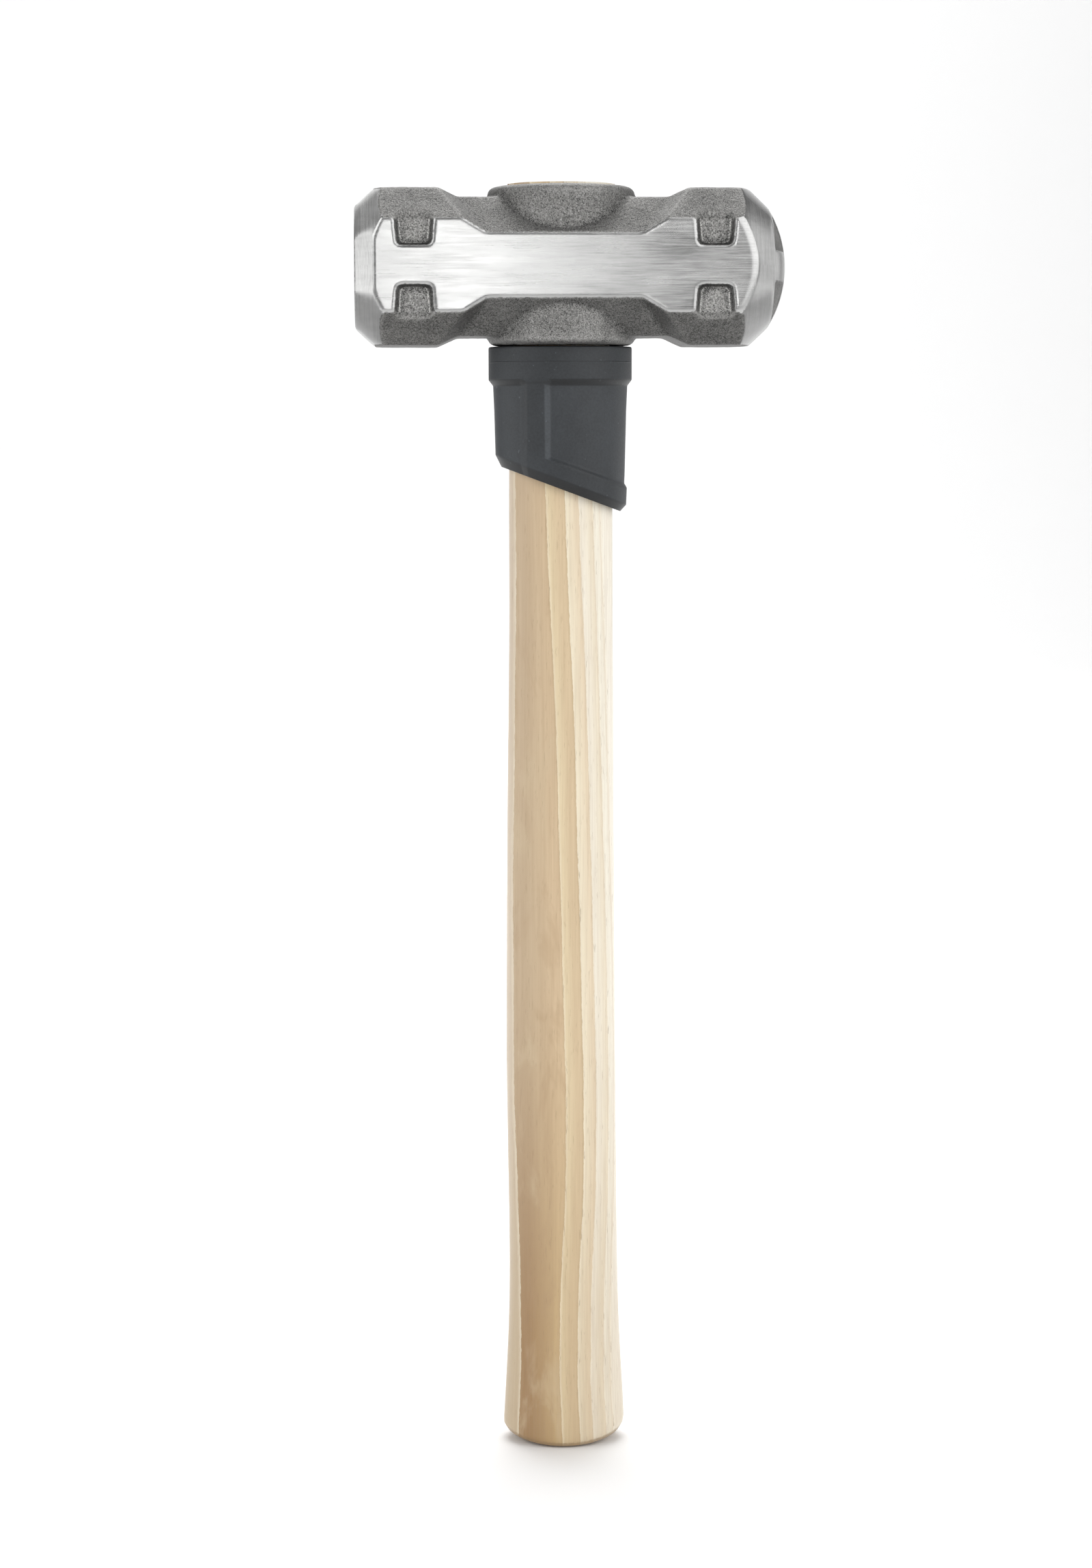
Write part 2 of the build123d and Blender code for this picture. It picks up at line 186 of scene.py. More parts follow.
# %% Short ways to add material nodes
class Finish:
    """A material with a Principled shader and short ways to add nodes to it."""

    def __init__(self, name):
        self.material = bpy.data.materials.new(name)
        self.material.use_nodes = True
        self.tree = self.material.node_tree
        self.shader = self.tree.nodes["Principled BSDF"]
        self.coordinates = self.tree.nodes.new("ShaderNodeTexCoord").outputs["Object"]
        self.last_bump = None

    def plug(self, value, socket):
        if isinstance(value, bpy.types.NodeSocket):
            self.tree.links.new(value, socket)
        else:
            socket.default_value = value

    def math(self, operation, *values, clamp=False):
        node = self.tree.nodes.new("ShaderNodeMath")
        node.operation = operation
        node.use_clamp = clamp
        for value, socket in zip(values, node.inputs):
            self.plug(value, socket)
        return node.outputs[0]

    def plus(self, first, second, clamp=False):
        return self.math("ADD", first, second, clamp=clamp)

    def minus(self, first, second):
        return self.math("SUBTRACT", first, second)

    def times(self, first, second):
        return self.math("MULTIPLY", first, second)

    def stretched(self, scale, offset=(0, 0, 0)):
        node = self.tree.nodes.new("ShaderNodeMapping")
        node.inputs["Location"].default_value = offset
        node.inputs["Scale"].default_value = scale
        self.plug(self.coordinates, node.inputs["Vector"])
        return node.outputs[0]

    def noise(self, vector, detail=4.0, roughness=0.5, distortion=0.0):
        node = self.tree.nodes.new("ShaderNodeTexNoise")
        self.plug(vector, node.inputs["Vector"])
        node.inputs["Scale"].default_value = 1.0
        node.inputs["Detail"].default_value = detail
        node.inputs["Roughness"].default_value = roughness
        node.inputs["Distortion"].default_value = distortion
        return node.outputs["Fac"]

    def even_noise(self, per_metre, detail=4.0, roughness=0.5):
        return self.noise(self.stretched((per_metre, per_metre, per_metre)), detail, roughness)

    def range(self, value, from_low, from_high, to_low=0.0, to_high=1.0, smooth=False):
        node = self.tree.nodes.new("ShaderNodeMapRange")
        node.interpolation_type = "SMOOTHSTEP" if smooth else "LINEAR"
        limits = {"From Min": from_low, "From Max": from_high, "To Min": to_low, "To Max": to_high}
        self.plug(value, node.inputs["Value"])
        for key, number in limits.items():
            self.plug(number, node.inputs[key])
        return node.outputs[0]

    def mix(self, factor, first, second):
        node = self.tree.nodes.new("ShaderNodeMix")
        node.data_type = "RGBA"
        self.plug(factor, node.inputs["Factor"])
        self.plug(first, node.inputs["A"])
        self.plug(second, node.inputs["B"])
        return node.outputs["Result"]

    def blend(self, factor, first, second):
        node = self.tree.nodes.new("ShaderNodeMix")
        self.plug(factor, node.inputs["Factor"])
        self.plug(first, node.inputs["A"])
        self.plug(second, node.inputs["B"])
        return node.outputs["Result"]

    def axes(self):
        node = self.tree.nodes.new("ShaderNodeSeparateXYZ")
        self.plug(self.coordinates, node.inputs[0])
        return node.outputs[0:3]

    def combine(self, x, y, z):
        node = self.tree.nodes.new("ShaderNodeCombineXYZ")
        for value, socket in zip((x, y, z), node.inputs):
            self.plug(value, socket)
        return node.outputs[0]

    def distance(self, first, second):
        squares = self.plus(self.times(first, first), self.times(second, second))
        return self.math("SQRT", squares)

    def attribute(self, name):
        node = self.tree.nodes.new("ShaderNodeAttribute")
        node.attribute_name = name
        return node.outputs["Fac"]

    def bump(self, height, distance):
        node = self.tree.nodes.new("ShaderNodeBump")
        node.inputs["Strength"].default_value = 1.0
        node.inputs["Distance"].default_value = distance
        self.plug(height, node.inputs["Height"])
        if self.last_bump:
            self.tree.links.new(self.last_bump, node.inputs["Normal"])
        self.last_bump = node.outputs[0]
        self.tree.links.new(self.last_bump, self.shader.inputs["Normal"])

    def set(self, **inputs):
        for key, value in inputs.items():
            self.plug(value, self.shader.inputs[key.replace("_", " ")])


# %% [markdown]
# ## Head
# The head is hot forged, shot-blasted to an even grey grain, and then ground bright on its side
# flats, bevels and faces.  The CAD node has the right planes but knife-sharp edges.  A copy of it
# is given an even skin of small faces, and smoothing those rounds every edge the way a forging
# die does.  The skin wavers a little on the flats, which a polished flat would show, so those
# points are put back on the plane.

# %% Shape the head
HEAD_CELL = 0.62 * MM
FLAT_CATCH = 0.25 * MM
FLAT_FACING = 0.985
head = welded_copy("head", "forged_head")
fine_skin(head, HEAD_CELL, 2)


def true_flats(piece):
    """Puts every point of the side flats exactly on the plane that the belt ground."""
    caught = 0
    for vertex in piece.data.vertices:
        near = HALF_ACROSS - abs(vertex.co.y) < FLAT_CATCH
        if near and abs(vertex.normal.y) > FLAT_FACING:
            vertex.co.y = math.copysign(HALF_ACROSS, vertex.co.y)
            caught += 1
    print("points on the side flats:", caught)


true_flats(head)

# %% [markdown]
# The forging was ground by a flat belt on its sides and turned on its bevels and faces.  Both
# kinds of surface are planes, cones and a sphere, so how deep a point lies under each of them is a
# short sum.  A point whose depth is nought was ground.


# %% Depth under the ground surfaces
def ground_depths(point):
    """(depth under the side flats, depth under the turned surfaces), in metres."""
    along = point.x
    radius = math.hypot(point.y, point.z - HEAD_Z)
    under_flat = HALF_ACROSS - abs(point.y)
    fall = BEVEL_SLOPE * (FACE_REACH - abs(along))
    if along < 0:
        side = max(abs(point.y), abs(point.z - HEAD_Z))
        under_bevel = min(FACE_RADIUS + fall - radius, FACE_HALF_WIDTH + fall - side)
        under_face = along + FACE_REACH
    else:
        inside = min(radius, DOME_RIM_RADIUS)
        under_bevel = DOME_RIM_RADIUS + fall - radius
        under_face = DOME_CENTRE.x + math.sqrt(DOME_RADIUS**2 - inside**2) - along
    return under_flat, min(under_bevel, under_face)


print("depths at the middle of the head:", [round(d / MM, 1) for d in ground_depths(Vector((0, 0, HEAD_Z)))])

# %% [markdown]
# A few numbers are stored at every point: its depth, whether the nearest ground surface is turned
# or flat, whether it lies in one of the pockets, and which way the skin faces.  The finish reads
# them later, so the bright grinding stops exactly where the real belt and lathe stop.

# %% Mark the ground surfaces and the pockets
CREASE_REACH = 0.9 * MM
POCKET_X = 46.9 * MM
POCKET_HALF_X = 6.6 * MM
POCKET_INNER_Z = 5.8 * MM
POCKET_OUTER_Z = 14.2 * MM
POCKET_DEEPEST = 4.0 * MM


def in_pocket(point, under_flat):
    """1 inside one of the pockets of the side flats, 0 elsewhere."""
    beside = abs(abs(point.x) - POCKET_X) < POCKET_HALF_X
    level = POCKET_INNER_Z < abs(point.z - HEAD_Z) < POCKET_OUTER_Z
    return 1.0 if beside and level and under_flat < POCKET_DEEPEST else 0.0


def mark_ground(piece):
    """Stores ground_depth (mm), turned, pocket, front and up on every point."""
    marks = {"ground_depth": [], "turned": [], "pocket": [], "front": [], "up": []}
    for vertex in piece.data.vertices:
        flat, turned = ground_depths(vertex.co)
        on_crease = max(flat, turned) < CREASE_REACH
        marks["ground_depth"].append(0.0 if on_crease else min(flat, turned) / MM)
        marks["turned"].append(1.0 if turned < flat else 0.0)
        marks["pocket"].append(in_pocket(vertex.co, flat))
        # Which way the skin faces is read by the finish to paint light on front-facing skin and shade on
        # down-facing skin.
        marks["front"].append(abs(vertex.normal.y))
        marks["up"].append(vertex.normal.z)
    for name, values in marks.items():
        store_on_points(piece, name, values)


mark_ground(head)

# %% [markdown]
# A belt held by hand rolls over the creases, so the bevels run softly into each other and into the
# flats.  The points near those creases are smoothed many times.  The marks made before stay with
# them, so the rolled steel still counts as ground.

# %% Roll the ground creases
FLAT_FACE_RIM = 0.7 * MM
BEVEL_SKIN = 0.4 * MM
CREASE_SKIN = 0.3 * MM
CREASE_WIDTH = 1.8 * MM


def roll_creases(piece, bevel_passes, crease_passes):
    """Softens the bevels of the flat face and the crease before the domed face."""
    bm = bmesh.new()
    bm.from_mesh(piece.data)
    bevels = []
    crease = []
    for vertex in bm.verts:
        flat, turned = ground_depths(vertex.co)
        behind_rim = FLAT_FACE_RIM - FACE_REACH < vertex.co.x < 0
        if behind_rim and turned < BEVEL_SKIN and flat > CREASE_SKIN:
            bevels.append(vertex)
        elif vertex.co.x > 0 and max(flat, turned) < CREASE_WIDTH and min(flat, turned) < CREASE_SKIN:
            crease.append(vertex)
    soften(bm, bevels, bevel_passes)
    soften(bm, crease, crease_passes)
    bm.to_mesh(piece.data)
    bm.free()
    print("rolled", len(bevels), "points of the bevels and", len(crease), "of the crease")


roll_creases(head, 40, 12)

# %% [markdown]
# Outside edges are painted brighter, partly as rubbed steel and partly as painted highlight, and
# corners get painted shade.  One more number per point says how sharply the skin bends there.  It is
# the distance between a point and the middle of its neighbours, so it is above zero on an edge that
# sticks out and below zero in a corner.


# %% Measure the bends
def mark_bends(piece, cell, passes):
    """Stores bend on every point: above zero on outside edges, below zero in corners."""
    bm = bmesh.new()
    bm.from_mesh(piece.data)
    bm.normal_update()
    bends = []
    for vertex in bm.verts:
        around = [edge.other_vert(vertex).co for edge in vertex.link_edges]
        middle = sum(around, Vector()) / len(around)
        bends.append((vertex.co - middle).dot(vertex.normal) / cell)
    for _ in range(passes):
        softer = []
        for vertex in bm.verts:
            near = [bends[edge.other_vert(vertex).index] for edge in vertex.link_edges]
            softer.append(0.5 * bends[vertex.index] + 0.5 * sum(near) / len(near))
        bends = softer
    bm.free()
    store_on_points(piece, "bend", bends)


mark_bends(head, HEAD_CELL, 2)

# %% [markdown]
# Scale pressed into hot steel leaves shallow dents.  They are real geometry here: every point is
# moved along its normal by a few hundredths of a millimetre of noise, more under the eye, where
# this kind of forging is coarsest, and not at all on ground surfaces.

# %% Press in the forging scale
BROAD_PER_METRE = 180
FINE_PER_METRE = 620
BROAD_DENT = 0.07 * MM
FINE_DENT = 0.04 * MM
COARSE_DENT = 0.10 * MM
FINE_SHIFT = Vector((3.1, 0, 0))


def press_scale(piece):
    """Moves every forged point a little along its normal."""
    bm = bmesh.new()
    bm.from_mesh(piece.data)
    bm.normal_update()
    depth = bm.verts.layers.float["ground_depth"]
    for vertex in bm.verts:
        forged = ramp_between(vertex[depth], 0.12, 1.2)
        under_eye = ramp_between(HEAD_Z - vertex.co.z, 4 * MM, 16 * MM)
        under_eye *= 1 - ramp_between(abs(vertex.co.x), 22 * MM, 32 * MM)
        broad = noise.noise(vertex.co * BROAD_PER_METRE)
        fine = noise.noise(vertex.co * FINE_PER_METRE + FINE_SHIFT)
        push = forged * (BROAD_DENT * broad + (FINE_DENT + COARSE_DENT * under_eye) * fine)
        vertex.co += vertex.normal * push
    bm.to_mesh(piece.data)
    bm.free()


press_scale(head)
print("head box", box_in_mm(head))

# %% [markdown]
# Shot-blasted steel is a fine light and dark grain over broad, faint blotches.  Outside edges are
# painted brighter, partly as rubbed steel and partly as painted highlight; corners and down-facing
# skin get painted shade, and skin that faces the front gets painted light.  In a pocket the wall gets
# painted shade, the rounded corner between wall and floor gets a painted highlight and the floor is
# painted lighter, so depth alone can paint all three.


# %% Steel: the forged skin
def forged_skin(steel, depth, up):
    """(colour with painted light and shade, grain, pits) of the skin that no tool has touched since the
    forge.
    """
    grain = steel.even_noise(2700, detail=3, roughness=0.7)
    blotch = steel.even_noise(120, detail=3)
    pits = steel.even_noise(1300, detail=2, roughness=0.7)
    grey = steel.plus(steel.range(grain, 0.3, 0.7, -0.16, 0.18), steel.range(blotch, 0.3, 0.7, 0.15, 0.21))
    grey = steel.plus(grey, steel.range(pits, 0.35, 0.65, -0.05, 0.05))
    # Painted light: outside edges are painted brighter, partly as rubbed steel and partly as painted
    # highlight, and corners get painted shade.
    grey = steel.plus(grey, steel.range(steel.attribute("bend"), -0.2, 0.2, -0.2, 0.2), clamp=True)
    # Painted light and shade: skin that faces the front is painted lighter and skin that faces down is
    # painted darker.
    painted_front_light = steel.range(steel.attribute("front"), 0.55, 0.97, 0.86, 1.22)
    painted_underside_shade = steel.range(up, -0.75, -0.2, 0.62, 1.0, smooth=True)
    grey = steel.times(grey, steel.times(painted_front_light, painted_underside_shade))

    # Painted light in the pockets: painted shade on the wall, a painted highlight on the rounded corner and
    # a lighter painted floor.
    wall = steel.range(depth, 0.8, 1.5, 0.35, 1.0, smooth=True)
    from_fillet = steel.math("ABSOLUTE", steel.minus(depth, 1.6))
    painted_fillet_highlight = steel.range(from_fillet, 0.0, 0.28, 2.3, 1.0, smooth=True)
    pocket_painted_light = steel.times(steel.times(wall, painted_fillet_highlight), 1.3)
    grey = steel.times(grey, steel.blend(steel.attribute("pocket"), 1.0, pocket_painted_light))
    grey = steel.math("MAXIMUM", grey, 0.03)
    return steel.combine(grey, steel.times(grey, 0.99), steel.times(grey, 0.96)), grain, pits


# %% [markdown]
# A belt leaves long straight lines along the head, a lathe leaves rings round it.  Both are noise
# that is stretched a hundred times in one direction.  The rings use the angle round the head's
# centre line as one of their axes.


# %% Steel: the ground surfaces
def grinding_lines(steel, x, y, z, turned):
    """Fine lines, straight on the flats and round on the turned surfaces."""
    belt = steel.noise(steel.stretched((90, 300, 2600)), detail=3, roughness=0.6)
    height = steel.minus(z, HEAD_Z)
    angle = steel.math("ARCTAN2", height, y)
    radius = steel.distance(y, height)
    around = steel.combine(steel.times(x, 2600), steel.times(angle, 1.6), steel.times(radius, 1300))
    rings = steel.noise(around, detail=3, roughness=0.6)
    return steel.blend(turned, belt, rings)


def ground_skin(steel, x, lines, patches, turned, up):
    """Colour of the bright surfaces, with painted light where they face the sky and painted shade below."""
    belt_wide = steel.noise(steel.stretched((22, 60, 420)), detail=3, roughness=0.6)
    bright = steel.range(lines, 0.25, 0.75, 0.40, 0.54)
    bright = steel.plus(bright, steel.range(patches, 0.3, 0.7, -0.05, 0.06))
    bright = steel.plus(bright, steel.range(belt_wide, 0.3, 0.7, -0.03, 0.03), clamp=True)
    flat_face_end = steel.times(turned, steel.range(x, -30 * MM, -50 * MM))
    # Painted light and shade: the flat face's bevels are painted lighter where they face up, and all turned
    # surfaces darker where they face down.
    painted_sky_light = steel.times(flat_face_end, steel.range(up, 0.2, 0.5, smooth=True))
    painted_low_shade = steel.times(turned, steel.range(up, -0.05, -0.4, smooth=True))
    bright = steel.times(bright, steel.range(painted_sky_light, 0, 1, 1.0, 1.75))
    bright = steel.times(bright, steel.range(painted_low_shade, 0, 1, 1.0, 0.42))
    return steel.combine(bright, bright, steel.times(bright, 0.99))


# %% [markdown]
# The two skins are laid together by depth.  A little noise makes the border ragged, as it is where
# a grinding belt just misses a hollow.  The forged skin is rough and slightly oxidised, so it is a
# bit less metallic.

# %% Steel: both skins together
FORGED_FROM = 0.12
FORGED_FULL = 0.26
RAGGED = 0.07


def steel_finish():
    """Forged and ground steel in one material."""
    steel = Finish("forged_and_ground_steel")
    x, y, z = steel.axes()
    depth = steel.attribute("ground_depth")
    turned = steel.attribute("turned")
    up = steel.attribute("up")
    border = steel.range(steel.even_noise(900, detail=3), 0.3, 0.7, -RAGGED, RAGGED)
    forged = steel.range(steel.plus(depth, border), FORGED_FROM, FORGED_FULL, smooth=True)
    forged_colour, grain, pits = forged_skin(steel, depth, up)
    lines = grinding_lines(steel, x, y, z, turned)
    patches = steel.noise(steel.stretched((45, 45, 90)), detail=4, roughness=0.6)
    ground_colour = ground_skin(steel, x, lines, patches, turned, up)

    ground_rough = steel.plus(
        steel.range(lines, 0.3, 0.7, 0.19, 0.27), steel.range(patches, 0.3, 0.7, -0.03, 0.04)
    )
    rough = steel.blend(forged, ground_rough, steel.range(grain, 0.3, 0.7, 0.48, 0.66))
    steel.set(Base_Color=steel.mix(forged, ground_colour, forged_colour), Roughness=rough)
    steel.set(Metallic=steel.range(forged, 0, 1, 1.0, 0.85))
    steel.bump(steel.times(forged, pits), 0.12 * MM)
    steel.bump(steel.times(forged, grain), 0.10 * MM)
    steel.bump(steel.times(steel.minus(1.0, forged), lines), 0.004 * MM)
    return steel.material


finish_piece(head, "head", steel_finish())

# %% [markdown]
# ## Handle
# A hickory handle is turned and shaved to an oval, swells at the butt so that it can't slip out of
# the hand, and is crowned and chamfered at the end.  A level plane cuts the CAD node at any height,
# and the cut's width and depth are the oval there.

# %% Measure the handle's ovals
HANDLE_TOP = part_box("handle")[1].z
BUTT_CROWN = 5.0 * MM
CROWN_RADIUS = 21.0 * MM
CROWN_FLAT = 8.0 * MM
BUTT_CHAMFER = 1.2 * MM
SHOULDER_Z = HEAD_Z - 24.6 * MM
EYE_START_Z = HEAD_Z - 24.3 * MM
BUTT_RIM_Z = 9 * MM


def slice_oval(node, height):
    """(half width, half depth, sideways offset) of a CAD node where a level plane cuts it."""
    bm = bmesh.new()
    bm.from_mesh(frame["nodes"][node].data)
    geometry = bm.verts[:] + bm.edges[:] + bm.faces[:]
    cut = bmesh.ops.bisect_plane(bm, geom=geometry, plane_co=(0, 0, height), plane_no=(0, 0, 1))
    ring = [item.co.copy() for item in cut["geom_cut"] if isinstance(item, bmesh.types.BMVert)]
    bm.free()
    left = min(point.x for point in ring)
    right = max(point.x for point in ring)
    depth = max(point.y for point in ring)
    return (right - left) / 2, depth, (right + left) / 2


def crown_height(radius):
    """Height of the crowned butt at a distance from the handle's middle."""
    reach = max(radius - CROWN_FLAT, 0) / (CROWN_RADIUS - CROWN_FLAT)
    return BUTT_CROWN * reach**2


print("butt oval in mm:", [round(value / MM, 1) for value in slice_oval("handle", BUTT_RIM_Z)])

# %% [markdown]
# The handle is a tube of oval rings.  Extruding the last ring of edges makes the next ring's
# points, which are then placed on their own oval.  Each point keeps its angle, so the long edges
# run straight up the handle, as its fibres do.


# %% A tube of oval rings
class OvalTube:
    """A mesh that grows ring by ring; an oval is (half width, half depth, sideways offset)."""

    def __init__(self, segments, oval):
        self.bm = bmesh.new()
        self.oval = oval
        bmesh.ops.create_circle(self.bm, segments=segments, radius=1.0, cap_ends=False)
        for vertex in self.bm.verts:
            vertex.co = (vertex.co.x * oval[0], vertex.co.y * oval[1], 0)
        self.ring = self.bm.edges[:]

    def close(self):
        """Fills the last ring with one face."""
        bmesh.ops.contextual_create(self.bm, geom=self.ring)

    def grow(self, oval, height_of):
        """Adds a ring; height_of gives the height at a distance from the middle."""
        grown = bmesh.ops.extrude_edge_only(self.bm, edges=self.ring)
        self.ring = [item for item in grown["geom"] if isinstance(item, bmesh.types.BMEdge)]
        half_x, half_y, offset = oval
        for vertex in {vertex for edge in self.ring for vertex in edge.verts}:
            angle = math.atan2(vertex.co.y / self.oval[1], (vertex.co.x - self.oval[2]) / self.oval[0])
            x = offset + half_x * math.cos(angle)
            y = half_y * math.sin(angle)
            vertex.co = (x, y, height_of(math.hypot(x, y)))
        self.oval = oval


# %% [markdown]
# The butt comes first: a nearly flat middle, a crown that rises to the rim, and a small chamfer.
# From there the shaft takes its ovals from the CAD node.  Its first rings still follow the crown's
# curve and settle to level ones within a few millimetres.

# %% Butt and shaft
HANDLE_SEGMENTS = 120
CROWN_START = 0.2
CROWN_SHARES = (0.4, 0.55, 0.7, 0.82, 0.9, 0.94)
CHAMFER_FROM = 0.945
CHAMFER_TO = 0.997
CHAMFER_STEPS = 3
SETTLE_FROM = 6.5
SETTLE_TO = 14.0


def grow_butt():
    """The crowned and chamfered end, up to the handle's full width."""
    rim_x, rim_y, _ = slice_oval("handle", BUTT_RIM_Z)
    tube = OvalTube(HANDLE_SEGMENTS, (CROWN_START * rim_x, CROWN_START * rim_y, 0.0))
    tube.close()
    for share in CROWN_SHARES:
        tube.grow((share * rim_x, share * rim_y, 0), crown_height)
    for step in range(1, CHAMFER_STEPS + 1):
        share = CHAMFER_FROM + (CHAMFER_TO - CHAMFER_FROM) * step / CHAMFER_STEPS
        lift = BUTT_CHAMFER * step / CHAMFER_STEPS
        tube.grow((share * rim_x, share * rim_y, 0), lambda radius: crown_height(radius) + lift)
    return tube, crown_height(rim_x)


def shaft_heights():
    """Heights of the shaft's rings in millimetres: close at the butt, wide along the grip."""
    heights = [7.0 + 0.8 * step for step in range(5)] + [12 + 2.5 * step for step in range(14)]
    heights += [48 + 5.0 * step for step in range(62)]
    heights = [height for height in heights if height * MM < SHOULDER_Z - 1 * MM]
    return heights + [SHOULDER_Z / MM - 0.4]


def grow_shaft(tube, rim_height):
    """The grip, from the butt to the shoulder under the head."""
    for height in shaft_heights():
        bowed = 1 - ramp_between(height, SETTLE_FROM, SETTLE_TO)
        level = height * MM
        oval = slice_oval("handle", level)
        tube.grow(oval, lambda radius: level + bowed * (crown_height(radius) - rim_height))


# %% [markdown]
# Above the shoulder the handle is narrower and fills the eye, right up to its end between the
# wedges.  The end is closed with smaller rings so that no face is a wide fan.

# %% Eye end, and the whole handle
EYE_STEPS = 8
END_SHARES = (0.8, 0.5, 0.2)
EYE_CLEAR = 0.3 * MM
TOP_CLEAR = 0.05 * MM


def grow_eye_end(tube):
    """The tapered end in the eye, closed at the top."""
    half_x, half_y, _ = slice_oval("handle", EYE_START_Z + EYE_CLEAR)
    for height in (SHOULDER_Z, EYE_START_Z):
        tube.grow((half_x, half_y, 0), lambda radius: height)
    for step in range(1, EYE_STEPS + 1):
        height = EYE_START_Z + (HANDLE_TOP - EYE_START_Z) * step / EYE_STEPS
        half_x, half_y, _ = slice_oval("handle", min(height, HANDLE_TOP - TOP_CLEAR))
        tube.grow((half_x, half_y, 0), lambda radius: height)
    for share in END_SHARES:
        tube.grow((share * half_x, share * half_y, 0), lambda radius: HANDLE_TOP)
    tube.close()


def build_handle():
    """The whole handle, still without the wedges' slots."""
    tube, rim_height = grow_butt()
    grow_shaft(tube, rim_height)
    grow_eye_end(tube)
    bmesh.ops.recalc_face_normals(tube.bm, faces=tube.bm.faces)
    return object_from(tube.bm, "hickory_handle")


handle = build_handle()
print("handle box", box_in_mm(handle))

# %% [markdown]
# A wedge splits the end of the handle, so it sits in a slot of its own shape.  A copy of each CAD
# wedge, grown by a tenth of a millimetre, is cut out with a Boolean modifier.  The thin gap shows
# as a dark line round the wedge.

# %% Cut the wedges' slots
WEDGES = ("wood_wedge", "steel_wedge_left", "steel_wedge_right")
KERF_GAP = 0.12 * MM


def cut_kerf(piece, node, gap):
    """Cuts the slot that a wedge is driven into, a little wider than the wedge."""
    cutter = welded_copy(node, "kerf_cutter")
    normals = [vertex.normal.copy() for vertex in cutter.data.vertices]
    for vertex, normal in zip(cutter.data.vertices, normals):
        vertex.co += normal * gap
    cut = piece.modifiers.new("kerf", "BOOLEAN")
    cut.operation = "DIFFERENCE"
    cut.solver = "EXACT"
    cut.object = cutter
    keep_modifiers(piece)
    bpy.data.objects.remove(cutter)


for wedge in WEDGES:
    cut_kerf(handle, wedge, KERF_GAP)
print("handle with slots:", len(handle.data.vertices), "points")

# %% [markdown]
# Hickory shows broad brown heartwood beside nearly white sapwood.  Every growth layer starts with
# a pale, porous line and darkens towards the next one.  The layers run the length of the handle
# and drift sideways together, so one shared drift with height carries all the band edges.

# %% Hickory: where the growth layers lie
LAYER_EDGES = (-6.0, 0.0, 4.4, 8.9, 11.4)
LAYER_STARTS = (
    (0.76, 0.63, 0.41, 1),
    (0.84, 0.75, 0.57, 1),
    (0.86, 0.80, 0.68, 1),
    (0.88, 0.83, 0.71, 1),
    (0.89, 0.84, 0.73, 1),
)
LAYER_ENDS = (
    (0.67, 0.52, 0.33, 1),
    (0.77, 0.64, 0.46, 1),
    (0.82, 0.73, 0.57, 1),
    (0.83, 0.76, 0.62, 1),
    (0.86, 0.80, 0.68, 1),
)


def layer_drift(wood, z):
    """How far the growth layers have moved across the handle at a height."""
    rise = wood.math("DIVIDE", wood.minus(z, 115 * MM), 190 * MM)
    bow = wood.math("POWER", wood.math("MAXIMUM", rise, 0.0), 1.5)
    drift = wood.minus(5.2 * MM, wood.times(bow, 5.2 * MM))
    drift = wood.minus(drift, wood.range(z, 95 * MM, 45 * MM, 0.0, 1.8 * MM, smooth=True))
    return wood.plus(drift, wood.range(z, 25 * MM, 0.0, 0.0, 1.0 * MM, smooth=True))


def left_layer(wood, z):
    """Where the pale strip on the left ends."""
    edge = wood.range(z, 195 * MM, 290 * MM, -16.5 * MM, -15.3 * MM, smooth=True)
    edge = wood.plus(edge, wood.range(z, 125 * MM, 50 * MM, 0.0, 1.6 * MM, smooth=True))
    return wood.minus(edge, wood.range(z, 35 * MM, 0.0, 0.0, 1.0 * MM, smooth=True))


print("growth layers:", len(LAYER_EDGES))

# %% [markdown]
# The heartwood lies under everything.  It is darker on the left and near the butt, with faint long
# streaks and cloudy figure.  The pale strip on its left is the next layer, seen round the corner.

# %% Hickory: heartwood and the strip beside it
STREAK_BROWN = (0.30, 0.18, 0.09, 1)
CLOUD_LIGHT = (0.62, 0.50, 0.33, 1)
CLOUD_DARK = (0.40, 0.26, 0.14, 1)
STRIP_LINE = (0.80, 0.72, 0.56, 1)


def heartwood(wood, x, near_butt):
    """The brown wood under all the layers."""
    streak = wood.noise(wood.stretched((300, 300, 9), (0.2, 0, 0)), detail=3, roughness=0.6)
    cloud = wood.noise(wood.stretched((75, 75, 26), (1.7, 0, 0)), detail=4, roughness=0.6, distortion=0.6)
    right_side = wood.range(x, -13 * MM, -1 * MM, smooth=True)
    high = wood.mix(right_side, (0.54, 0.41, 0.265, 1), (0.69, 0.525, 0.335, 1))
    low = wood.mix(right_side, (0.325, 0.19, 0.078, 1), (0.54, 0.38, 0.19, 1))
    colour = wood.mix(near_butt, high, low)
    colour = wood.mix(wood.range(streak, 0.35, 0.68, 0.16, 0.0, smooth=True), colour, STREAK_BROWN)
    colour = wood.mix(wood.range(cloud, 0.52, 0.7, 0.0, 0.4, smooth=True), colour, CLOUD_LIGHT)
    return wood.mix(wood.range(cloud, 0.46, 0.34, 0.0, 0.3, smooth=True), colour, CLOUD_DARK)


def lay_strip(wood, colour, across, z, near_butt):
    """Lays the pale strip over the heartwood's left edge."""
    distance = wood.minus(across, left_layer(wood, z))
    outside = wood.range(distance, -0.1 * MM, 0.1 * MM, 1.0, 0.0, smooth=True)
    strip = wood.mix(near_butt, (0.66, 0.55, 0.42, 1), (0.52, 0.41, 0.27, 1))
    colour = wood.mix(outside, colour, strip)
    pale = wood.range(distance, -0.9 * MM, -0.1 * MM, 0.0, 0.5, smooth=True)
    return wood.mix(wood.times(outside, pale), colour, STRIP_LINE)


# %% [markdown]
# The other layers are laid over it from left to right, each from its own edge on.  The wood just
# before an edge is a little darker, the wood just after it is pale, and that pale start is where
# the pores will be.

